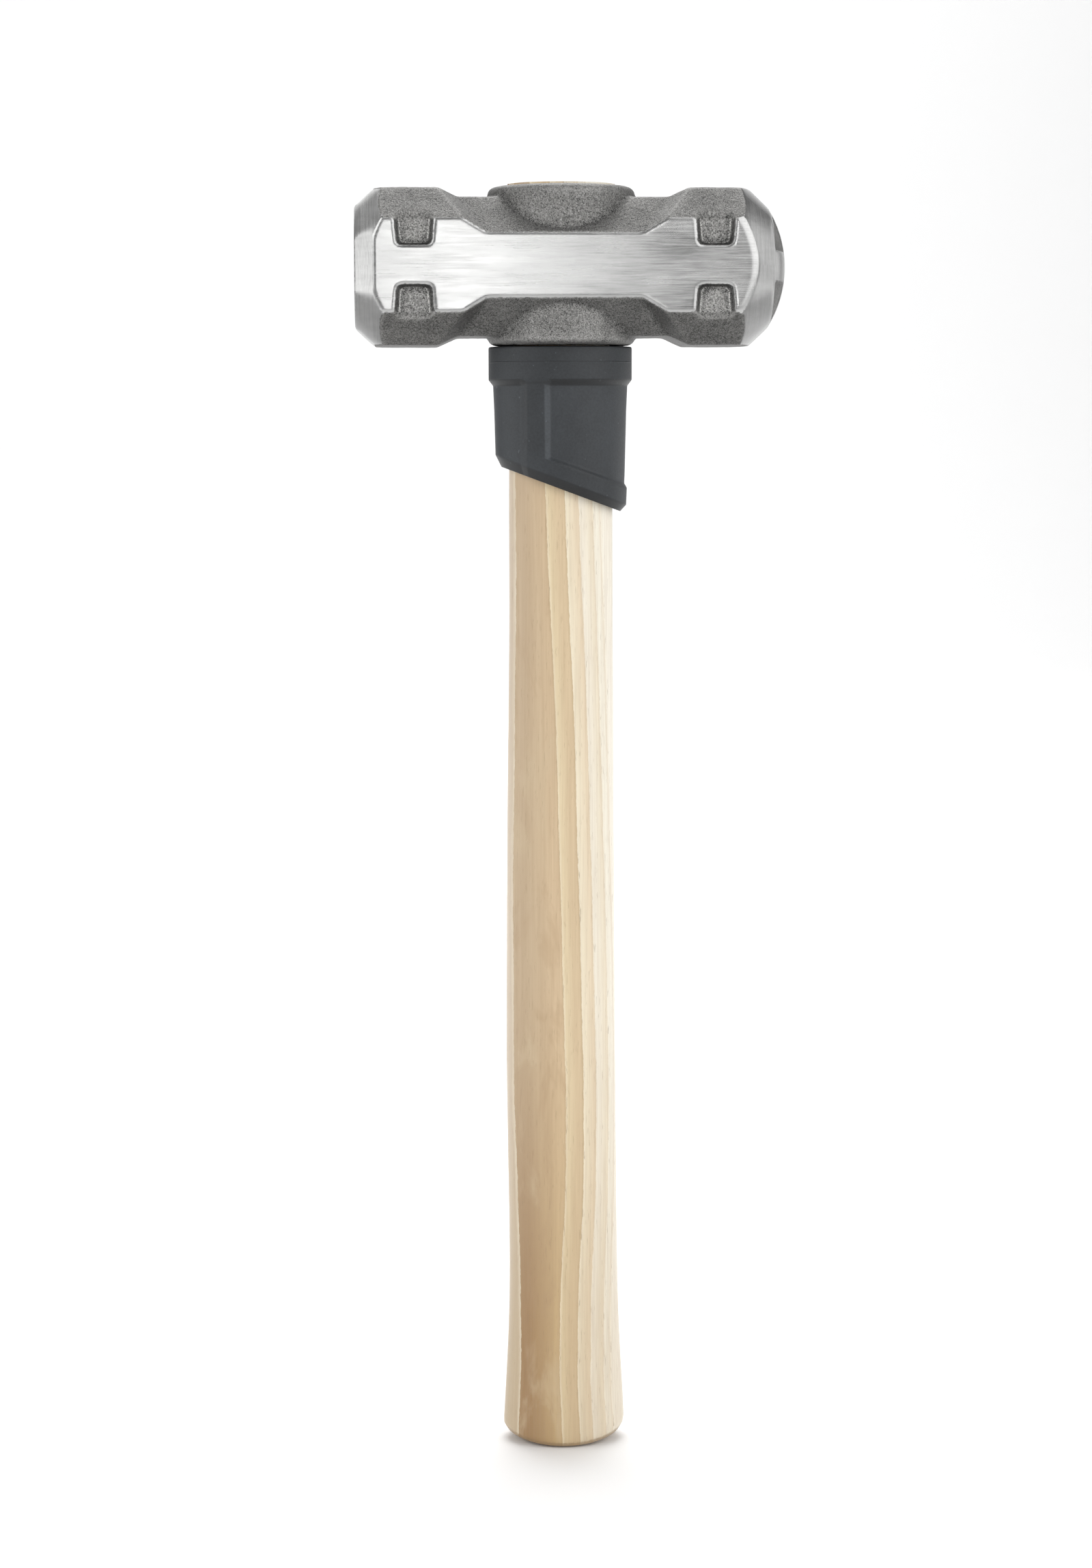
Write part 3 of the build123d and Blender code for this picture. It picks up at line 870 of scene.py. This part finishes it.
# %% Hickory: lay the growth layers
BUTT_TINT = (0.40, 0.27, 0.12, 1)
LATE_BROWN = (0.46, 0.33, 0.19, 1)
LATE_PALE = (0.66, 0.53, 0.38, 1)
START_PALE = (0.82, 0.74, 0.58, 1)
BROWN_LAYERS = 2


def lay_layers(wood, colour, across, z, near_butt):
    """(colour, how porous the wood is) after all the layers are laid."""
    drift = layer_drift(wood, z)
    porous = 0.0
    for number, place in enumerate(LAYER_EDGES):
        distance = wood.minus(across, wood.plus(drift, place * MM))
        beyond = wood.range(distance, -0.12 * MM, 0.12 * MM, smooth=True)
        along_layer = wood.range(distance, 0.3 * MM, 3.6 * MM)
        layer = wood.mix(along_layer, LAYER_STARTS[number], LAYER_ENDS[number])
        layer = wood.mix(wood.times(near_butt, 0.30), layer, BUTT_TINT)
        late = wood.range(distance, -0.8 * MM, -0.1 * MM, 0.0, 0.35, smooth=True)
        colour = wood.mix(late, colour, LATE_BROWN if number < BROWN_LAYERS else LATE_PALE)
        colour = wood.mix(beyond, colour, layer)
        opened = wood.range(distance, -0.1 * MM, 0.05 * MM, smooth=True)
        start = wood.times(opened, wood.range(distance, 0.05 * MM, 0.9 * MM, 1.0, 0.0, smooth=True))
        colour = wood.mix(wood.times(start, 0.35), colour, START_PALE)
        porous = wood.math("MAXIMUM", start, porous)
    return colour, porous


# %% [markdown]
# Pores are short dark dashes along the fibre, and most of them sit in the pale start of a layer.
# The crowned butt shows end grain, which soaks up more lacquer and turns darker.

# %% Hickory: pores, specks and end grain
FIBRE_BROWN = (0.40, 0.27, 0.15, 1)
PORE_BROWN = (0.30, 0.19, 0.10, 1)
SPECK_BROWN = (0.12, 0.08, 0.05, 1)
END_BROWN = (0.30, 0.195, 0.10, 1)


def dark_dashes(wood, colour, fibre, pores, porous):
    """Fibre lines, pores and a few specks."""
    pore_strength = wood.range(porous, 0.0, 1.0, 0.22, 0.6)
    speck_field = wood.noise(wood.stretched((150, 150, 90), (5.2, 0, 0)), detail=1)
    specks = wood.range(speck_field, 0.80, 0.84, smooth=True)
    colour = wood.mix(wood.range(fibre, 0.3, 0.62, 0.24, 0.0), colour, FIBRE_BROWN)
    colour = wood.mix(wood.times(pores, pore_strength), colour, PORE_BROWN)
    return wood.mix(wood.times(specks, 0.6), colour, SPECK_BROWN)


def end_grain(wood, colour, x, y, z, feather):
    """Darkens the crowned butt, with a ragged upper border."""
    radius = wood.distance(x, y)
    reach = wood.math("DIVIDE", wood.minus(radius, CROWN_FLAT), CROWN_RADIUS - CROWN_FLAT)
    crown = wood.times(wood.math("POWER", wood.math("MAXIMUM", reach, 0.0), 2.0), BUTT_CROWN)
    border = wood.plus(crown, wood.range(feather, 0.3, 0.7, 0, 0.5 * MM))
    share = wood.range(wood.minus(z, border), 0.3 * MM, 1.2 * MM, 0.7, 0.0, smooth=True)
    return wood.mix(share, colour, END_BROWN)


# %% [markdown]
# The whole material measures distance across the handle once, with a slow wander and a fine
# feathering so that no band edge is a clean line.  A thin lacquer coat lies over the wood, and the
# fibres and pores are also felt as bump.


# %% Hickory: the whole material
def hickory_finish():
    """Lacquered hickory with heartwood, sapwood and pores."""
    wood = Finish("lacquered_hickory")
    x, y, z = wood.axes()
    wander = wood.noise(wood.stretched((30, 30, 12)), detail=2)
    feather = wood.noise(wood.stretched((900, 900, 260)), detail=3, roughness=0.7)
    across = wood.plus(x, wood.range(wander, 0.3, 0.7, -0.35 * MM, 0.35 * MM))
    across = wood.plus(across, wood.times(y, 0.06))
    across = wood.plus(across, wood.range(feather, 0.3, 0.7, -0.16 * MM, 0.16 * MM))
    near_butt = wood.range(z, 20 * MM, 170 * MM, 1.0, 0.0, smooth=True)
    fibre = wood.noise(wood.stretched((1500, 1500, 30)), detail=3, roughness=0.65)
    pore_field = wood.noise(wood.stretched((2300, 2300, 190), (0.4, 0, 0)), detail=2, roughness=0.6)
    pores = wood.range(pore_field, 0.62, 0.70, 0.0, 1.0, smooth=True)

    colour = heartwood(wood, x, near_butt)
    colour = lay_strip(wood, colour, across, z, near_butt)
    colour, porous = lay_layers(wood, colour, across, z, near_butt)
    colour = dark_dashes(wood, colour, fibre, pores, porous)
    wood.set(Base_Color=end_grain(wood, colour, x, y, z, feather))
    wood.set(Roughness=wood.range(fibre, 0.3, 0.7, 0.38, 0.52))
    wood.set(Coat_Weight=0.3, Coat_Roughness=0.25, Specular_IOR_Level=0.45)
    wood.bump(fibre, 0.025 * MM)
    wood.bump(wood.minus(1.0, pores), 0.03 * MM)
    return wood.material


finish_piece(handle, "handle", hickory_finish())

# %% [markdown]
# ## Overstrike guard
# The guard is injection moulded rubber, so its panels have sloping walls and every edge is soft.
# It is built as a tube of rings that hug ovals.  The measures below are in millimetres from the
# head's centre line.  The collar is the thick band at the top, the shell is the raised skin below
# it, and the panels are sunk into the shell on both sides of a rib.

# %% Guard measures
GUARD_OFFSET = -0.4
GUARD_TOP = (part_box("overstrike_guard")[1].z - HEAD_Z) / MM
COLLAR_HALF = (22.9, 18.2)
COLLAR_BOTTOM = -35.1
STEP_BOTTOM = -37.0
SHELL_UPPER_HALF = (22.8, 17.9)
SHELL_LOWER_HALF = (21.0, 16.4)
SHELL_LOWER_Z = -78.0
EDGE_START = (-19.9, -62.3)
EDGE_SLOPE = -0.375
BEVEL_HEIGHT = 2.9
BEVEL_INSET = 1.9
RIB_LEFT = -11.4
RIB_RIGHT = -5.8
RIB_WALL_LEFT = 2.4
RIB_WALL_RIGHT = 1.9
HEM_AT_RIB = -60.0
HEM_SLOPE = -0.348
HEM_WALL = 1.4
PANEL_DEPTH_TOP = 1.25
PANEL_DEPTH_LOW = 0.9
PANEL_UPPER_Z = -45
PANEL_LOWER_Z = -65
print("guard top is", round(GUARD_TOP, 1), "mm below the head's centre line")

# %% [markdown]
# Three short functions hold the whole shape.  One gives the oval of the raised skin at a height,
# one says how deep a point is sunk into a panel, and one follows the slanted lower edge.  A wall
# that slopes over two millimetres catches the light, which a knife-sharp step never does.


# %% The guard's shape
def shell_half(z):
    """Half axes of the guard's raised skin at a height."""
    down = (z - COLLAR_BOTTOM) / (SHELL_LOWER_Z - COLLAR_BOTTOM)
    shell = [upper + (lower - upper) * down for upper, lower in zip(SHELL_UPPER_HALF, SHELL_LOWER_HALF)]
    collar = ramp_between(z, STEP_BOTTOM, COLLAR_BOTTOM)
    return [skin + (full - skin) * collar for skin, full in zip(shell, COLLAR_HALF)]


def panel_sink(x, z):
    """How far the panels are sunk below the raised skin at a point."""
    under_collar = steady(-z, -COLLAR_BOTTOM, -STEP_BOTTOM)
    left = steady(RIB_LEFT - x, 0, RIB_WALL_LEFT)
    above_hem = steady(z - HEM_AT_RIB - HEM_SLOPE * (x - RIB_RIGHT), 0, HEM_WALL)
    right = min(steady(x - RIB_RIGHT, 0, RIB_WALL_RIGHT), above_hem)
    low = steady(-z, -PANEL_UPPER_Z, -PANEL_LOWER_Z)
    depth = PANEL_DEPTH_TOP + (PANEL_DEPTH_LOW - PANEL_DEPTH_TOP) * low
    return depth * under_collar * max(left, right)


def edge_height(x):
    """Height of the slanted lower edge across the front."""
    return EDGE_START[1] + EDGE_SLOPE * (x - EDGE_START[0])


def outwards_at(x, y, half_x, half_y):
    """The direction that points straight out of an oval."""
    return Vector((x / half_x**2, y / half_y**2, 0)).normalized()


def guard_point(angle, z, inset=0.0):
    """A point on the skin, moved inwards by the inset and by the panels."""
    half_x, half_y = shell_half(z)
    x = half_x * math.cos(angle)
    y = half_y * math.sin(angle)
    return Vector((x, y, z)) - outwards_at(x, y, half_x, half_y) * (inset + panel_sink(x, z))


# %% [markdown]
# The rings run from the rounded top edge down over the collar, the step under it and the panels.
# Lower rings lean more and more until they follow the slanted edge, so no face is cut off.  Rings
# are closer together where the skin bends.

# %% Rings over the outside
TUBE_SEGMENTS = 320
ANGLES = [math.tau * step / TUBE_SEGMENTS for step in range(TUBE_SEGMENTS)]
TOP_ROUND = ((1.2, 0.0), (0.6, 0.0), (0.35, 0.05), (0.12, 0.18), (0.02, 0.4), (0.0, 0.7))
TOP_DROP = 0.7
STEP_MARGIN = 0.3
COLLAR_ROWS = 19
STEP_ROWS = 7
PANEL_ROWS = 72
LOW_SHELL_Z = -68
BEVEL_SHARES = (0.2, 0.4, 0.6, 0.8, 0.93, 1.0)


def level_rings(start_z, end_z, rows):
    """Level rings below start_z, down to end_z."""
    heights = [start_z + (end_z - start_z) * step / rows for step in range(1, rows + 1)]
    return [[guard_point(angle, z) for angle in ANGLES] for z in heights]


def panel_rings():
    """Rings that start level under the collar and end along the slanted edge."""
    start_z = STEP_BOTTOM - STEP_MARGIN
    half_x = shell_half(LOW_SHELL_Z)[0]
    bottoms = [edge_height(half_x * math.cos(angle)) + BEVEL_HEIGHT for angle in ANGLES]
    rings = []
    for step in range(1, PANEL_ROWS + 1):
        share = step / PANEL_ROWS
        heights = [start_z + (low - start_z) * share for low in bottoms]
        rings.append([guard_point(angle, z) for angle, z in zip(ANGLES, heights)])
    return rings


def bevel_rings(skin_end):
    """The bevel from the last skin ring in to the slanted edge."""
    ends = []
    for start in skin_end:
        end = start - outwards_at(start.x, start.y, *SHELL_LOWER_HALF) * BEVEL_INSET
        end.z = edge_height(end.x)
        ends.append(end)
    return [[start.lerp(end, share) for start, end in zip(skin_end, ends)] for share in BEVEL_SHARES]


# %% [markdown]
# Inside, the guard hugs the handle.  The inner wall is measured from the handle's own ovals, so
# the two never cut into each other.  Its rings run back up to the top, where the tube closes.

# %% Rings up the inside
INNER_GAP = 0.05
INNER_TOP_Z = -25
INNER_LOW_Z = -70
INNER_SHARES = (0.25, 0.5, 0.75)
HANDLE_AT_TOP = [half / MM + INNER_GAP for half in slice_oval("handle", SHOULDER_Z - 1 * MM)[:2]]
HANDLE_AT_LOW = [half / MM + INNER_GAP for half in slice_oval("handle", HEAD_Z + INNER_LOW_Z * MM)[:2]]


def inner_point(angle, z):
    """A point on the wall that hugs the handle."""
    share = steady(-z, -INNER_TOP_Z, -INNER_LOW_Z)
    half_x, half_y = (top + (low - top) * share for top, low in zip(HANDLE_AT_TOP, HANDLE_AT_LOW))
    return Vector((half_x * math.cos(angle), half_y * math.sin(angle), z))


def inside_rings(edge_ring):
    """The lower lip and the inner wall."""
    lip = []
    for angle in ANGLES:
        point = inner_point(angle, LOW_SHELL_Z)
        point.z = edge_height(point.x)
        lip.append(point)
    rings = [[point.lerp(edge, 0.5) for point, edge in zip(lip, edge_ring)], lip]
    for share in INNER_SHARES:
        heights = [point.z + (GUARD_TOP - point.z) * share for point in lip]
        rings.append([inner_point(angle, z) for angle, z in zip(ANGLES, heights)])
    return rings


def guard_rings():
    """Rings from the inside of the top, over the skin and the lower edge, back up the inside."""
    rings = [[inner_point(angle, GUARD_TOP) for angle in ANGLES]]
    for inset, drop in TOP_ROUND:
        rings.append([guard_point(angle, GUARD_TOP - drop, inset) for angle in ANGLES])
    rings += level_rings(GUARD_TOP - TOP_DROP, COLLAR_BOTTOM + STEP_MARGIN, COLLAR_ROWS)
    rings += level_rings(COLLAR_BOTTOM + STEP_MARGIN, STEP_BOTTOM - STEP_MARGIN, STEP_ROWS)
    rings += panel_rings()
    rings += bevel_rings(rings[-1])
    rings += inside_rings(rings[-1])
    return rings


# %% [markdown]
# Each ring is extruded from the one before it, and every new point is set on its own place.  The
# last ring is bridged to the first, which closes the tube without a seam.


# %% Build the guard
def edges_of(grown):
    """The edges that an extrusion made."""
    return [item for item in grown["geom"] if isinstance(item, bmesh.types.BMEdge)]


def neighbours(vertex):
    """The points that share an edge with a point."""
    return [edge.other_vert(vertex) for edge in vertex.link_edges]


def tube_from_rings(rings, name):
    """A closed tube: a ring of vertices is extruded to every next ring, and the last joins the first."""
    bm = bmesh.new()
    current = list(bmesh.ops.create_circle(bm, segments=len(rings[0]), radius=1.0)["verts"])
    for vertex, place in zip(current, rings[0]):
        vertex.co = place
    first = ring = bm.edges[:]
    for places in rings[1:]:
        grown = bmesh.ops.extrude_edge_only(bm, edges=ring)
        ring = edges_of(grown)
        new = {item for item in grown["geom"] if isinstance(item, bmesh.types.BMVert)}
        current = [next(end for end in neighbours(vertex) if end in new) for vertex in current]
        for vertex, place in zip(current, places):
            vertex.co = place
    bmesh.ops.bridge_loops(bm, edges=first + ring)
    for vertex in bm.verts:
        vertex.co.x += GUARD_OFFSET
        vertex.co = vertex.co * MM + Vector((0, 0, HEAD_Z))
    bmesh.ops.recalc_face_normals(bm, faces=bm.faces)
    return object_from(bm, name)


guard = tube_from_rings(guard_rings(), "moulded_guard")
print("guard box", box_in_mm(guard))

# %% [markdown]
# Raised skin is darker, the rib's sloping wall gets a painted highlight, and skin that faces down
# gets the deepest painted shade.  One number per point holds that, measured from the same
# functions that made the shape.

# %% Mark the rubber's tone
RAISED_TONE = 0.86
# A painted highlight on the rib's right wall, and painted shade on skin that faces down:
PAINTED_WALL_HIGHLIGHT = 1.5
PAINTED_UNDERSIDE_SHADE = 0.68


def mark_tone(piece):
    """Stores tone on every point: raised skin is darker, the rib's wall has a painted highlight, and skin
    that faces down has painted shade.
    """
    tones = []
    for vertex in piece.data.vertices:
        x = vertex.co.x / MM - GUARD_OFFSET
        z = (vertex.co.z - HEAD_Z) / MM
        sunk = panel_sink(x, z) / PANEL_DEPTH_LOW
        on_lit_wall = RIB_RIGHT < x < RIB_RIGHT + RIB_WALL_RIGHT and 0.05 < sunk < 1.3
        tone = PAINTED_WALL_HIGHLIGHT if on_lit_wall else RAISED_TONE + (1 - RAISED_TONE) * min(sunk, 1.0)
        tones.append(tone * (1 - PAINTED_UNDERSIDE_SHADE * ramp_between(-vertex.normal.z, 0.1, 0.4)))
    store_on_points(piece, "tone", tones)


mark_tone(guard)

# %% [markdown]
# Moulded rubber is matt charcoal with a touch of blue.  It has cloudy smudges, a fine grain and
# specks of dust, and the two mould halves leave a faint line round the collar.

# %% Rubber: matt charcoal with smudges
MOULD_LINE = -29.6
LINE_HALF = 0.05 * MM
LINE_FADE = 0.22 * MM


def rubber_finish():
    """Matt charcoal rubber with smudges, dust and a mould line."""
    rubber = Finish("moulded_rubber")
    z = rubber.axes()[2]
    cloud = rubber.even_noise(60, detail=4)
    grain = rubber.even_noise(1500, detail=2)
    dust_field = rubber.noise(rubber.stretched((700, 700, 700), (0.3, 0, 0)), detail=1)
    dust = rubber.range(dust_field, 0.74, 0.8, smooth=True)
    shade = rubber.range(cloud, 0.3, 0.7, 0.026, 0.040)
    shade = rubber.plus(shade, rubber.range(grain, 0.3, 0.7, -0.004, 0.004))
    # The tone carries the painted highlight on the rib's wall and the painted shade under the guard into the
    # colour.
    shade = rubber.times(shade, rubber.attribute("tone"))
    from_line = rubber.math("ABSOLUTE", rubber.minus(z, HEAD_Z + MOULD_LINE * MM))
    line = rubber.range(from_line, LINE_HALF, LINE_FADE, 1.0, 0.0, smooth=True)
    shade = rubber.times(shade, rubber.range(line, 0, 1, 1.0, 0.7))
    shade = rubber.plus(shade, rubber.times(dust, 0.03))
    rubber.set(Base_Color=rubber.combine(shade, rubber.times(shade, 1.12), rubber.times(shade, 1.25)))
    rubber.set(Roughness=rubber.range(cloud, 0.3, 0.7, 0.40, 0.54), Specular_IOR_Level=0.4)
    rubber.bump(grain, 0.03 * MM)
    rubber.bump(line, 0.05 * MM)
    return rubber.material


finish_piece(guard, "overstrike_guard", rubber_finish())

# %% [markdown]
# ## Wedges
# The wedges are small, plain and mostly hidden in the handle, so their CAD meshes are already the
# finished shape.  They only need a finish: brown hardwood with its grain upright, and bare steel
# that has been hammered.


# %% Finish the wedges
def wedge_finish(name, base, dark, metallic, rough):
    """Two tones of upright grain."""
    finish = Finish(name)
    tone = finish.noise(finish.stretched((500, 900, 60)), detail=4)
    finish.set(Base_Color=finish.mix(finish.range(tone, 0.35, 0.65), dark, base))
    finish.set(Metallic=metallic, Roughness=finish.range(tone, 0.3, 0.7, rough, rough + 0.15))
    finish.bump(tone, 0.05 * MM)
    return finish.material


HARDWOOD = wedge_finish("wedge_hardwood", (0.42, 0.26, 0.14, 1), (0.25, 0.14, 0.07, 1), 0.0, 0.5)
WEDGE_STEEL = wedge_finish("wedge_steel", (0.42, 0.41, 0.40, 1), (0.24, 0.23, 0.22, 1), 0.9, 0.35)
for node, material in zip(WEDGES, (HARDWOOD, WEDGE_STEEL, WEDGE_STEEL)):
    frame["nodes"][node].data.materials.clear()
    frame["nodes"][node].data.materials.append(material)
    print(node, "gets", material.name)

# %% [markdown]
# ## Studio
# The tool stands on a sheet of white paper that curves up behind it, as in a product studio.  The
# curve is a quarter circle of extruded edges, so there is no horizon line behind the tool.

# %% Paper sweep
FLOOR_HALF = 3.0
SWEEP_RADIUS = 1.2
SWEEP_STEPS = 12
BACK_HEIGHT = 3.0
PAPER_WHITE = (0.93, 0.93, 0.93, 1)


def build_stage():
    """A floor that curves up into a back wall."""
    bm = bmesh.new()
    bmesh.ops.create_grid(bm, x_segments=1, y_segments=1, size=FLOOR_HALF)
    back = [edge for edge in bm.edges if all(vertex.co.y > 0 for vertex in edge.verts)]
    for step in range(1, SWEEP_STEPS + 1):
        back = edges_of(bmesh.ops.extrude_edge_only(bm, edges=back))
        turn = math.radians(90 * step / SWEEP_STEPS)
        for vertex in {vertex for edge in back for vertex in edge.verts}:
            vertex.co.y = FLOOR_HALF + SWEEP_RADIUS * math.sin(turn)
            vertex.co.z = SWEEP_RADIUS * (1 - math.cos(turn))
    back = edges_of(bmesh.ops.extrude_edge_only(bm, edges=back))
    for vertex in {vertex for edge in back for vertex in edge.verts}:
        vertex.co.z += BACK_HEIGHT
    floor = object_from(bm, "studio_floor")
    floor.data.polygons.foreach_set("use_smooth", [True] * len(floor.data.polygons))
    paper = Finish("studio_paper")
    paper.set(Base_Color=PAPER_WHITE, Roughness=0.9)
    floor.data.materials.append(paper.material)
    print("stage faces:", len(floor.data.polygons))


build_stage()

# %% [markdown]
# Soft light comes from large rectangles.  A strong one on the right and a weaker one on the left
# model the handle's roundness.  A small patch in front is mirrored as the bright spot on the
# ground flat, strips at the sides light the bevels, and a wash keeps the back wall white.


# %% Lights
def area_light(name, location, target, size, power):
    """A rectangle of light that faces its target."""
    light = bpy.data.lights.new(name, "AREA")
    light.shape = "RECTANGLE"
    light.size, light.size_y = size
    light.energy = power
    lamp = bpy.data.objects.new(name, light)
    lamp.location = location
    lamp.rotation_euler = (Vector(target) - Vector(location)).to_track_quat("-Z", "Y").to_euler()
    bpy.context.scene.collection.objects.link(lamp)
    print(name, power, "W")


TOOL_MIDDLE = (0, 0, 0.25)
HEAD_MIDDLE = (0, 0, HEAD_Z)
area_light("top_back", (0.0, 0.9, 1.9), (0, 0.5, 0), (1.6, 1.2), 30)
area_light("key_right", (1.1, -1.1, 1.0), TOOL_MIDDLE, (2.0, 1.8), 17)
area_light("fill_left", (-1.1, -1.1, 1.0), TOOL_MIDDLE, (1.2, 1.2), 7.5)
area_light("front_patch", (-0.01, -1.7, 0.50), HEAD_MIDDLE, (0.12, 0.5), 1.1)
area_light("left_strip", (-0.9, -0.1, 0.45), HEAD_MIDDLE, (0.7, 0.7), 1.9)
area_light("right_strip", (0.9, 0.3, 0.45), HEAD_MIDDLE, (0.9, 0.8), 1.6)
area_light("backdrop_wash", (0.0, 1.2, 2.2), (0, 3.6, 0.6), (2.0, 1.0), 65)

# %% [markdown]
# A dim white world fills the shadows.  The Standard view keeps whites white, where the default
# view would turn the paper grey.

# %% World
WORLD_STRENGTH = 0.27
world = bpy.data.worlds.new("studio_world")
bpy.context.scene.world = world
world.use_nodes = True
background = world.node_tree.nodes["Background"]
background.inputs["Color"].default_value = (1, 1, 1, 1)
background.inputs["Strength"].default_value = WORLD_STRENGTH
bpy.context.scene.view_settings.view_transform = "Standard"
print("world strength", WORLD_STRENGTH)

# %% [markdown]
# The camera stands a metre away, a little below the head, a few degrees round to the flat face's
# side, and looks slightly down.  Its three directions are worked out as vectors and put together
# as the columns of its matrix.

# %% Camera
CAMERA_DISTANCE = 0.9646
CAMERA_TURN = math.radians(3.07)
CAMERA_DROP = 49.8 * MM
CAMERA_PITCH = math.radians(6.823)
CAMERA_YAW = math.radians(-0.313)
CAMERA_ROLL = math.radians(-0.15)
CAMERA_LENS = 68.64
SENSOR_WIDTH = 36.0
heading = CAMERA_TURN + CAMERA_YAW
level = math.cos(CAMERA_PITCH)
forward = Vector((math.sin(heading) * level, math.cos(heading) * level, -math.sin(CAMERA_PITCH)))
right = Vector((math.cos(heading), -math.sin(heading), 0))
up = right.cross(forward)
rolled_right = math.cos(CAMERA_ROLL) * right + math.sin(CAMERA_ROLL) * up
rolled_up = rolled_right.cross(forward)
turn = Matrix((rolled_right, rolled_up, -forward)).transposed()
back_x = -CAMERA_DISTANCE * math.sin(CAMERA_TURN)
back_y = -CAMERA_DISTANCE * math.cos(CAMERA_TURN)
camera_data = bpy.data.cameras.new("camera")
camera_data.sensor_width = SENSOR_WIDTH
camera_data.lens = CAMERA_LENS
camera = bpy.data.objects.new("camera", camera_data)
camera.matrix_world = Matrix.Translation((back_x, back_y, HEAD_Z - CAMERA_DROP)) @ turn.to_4x4()
bpy.context.scene.collection.objects.link(camera)
bpy.context.scene.camera = camera
print("camera at", [round(value, 3) for value in camera.matrix_world.translation])
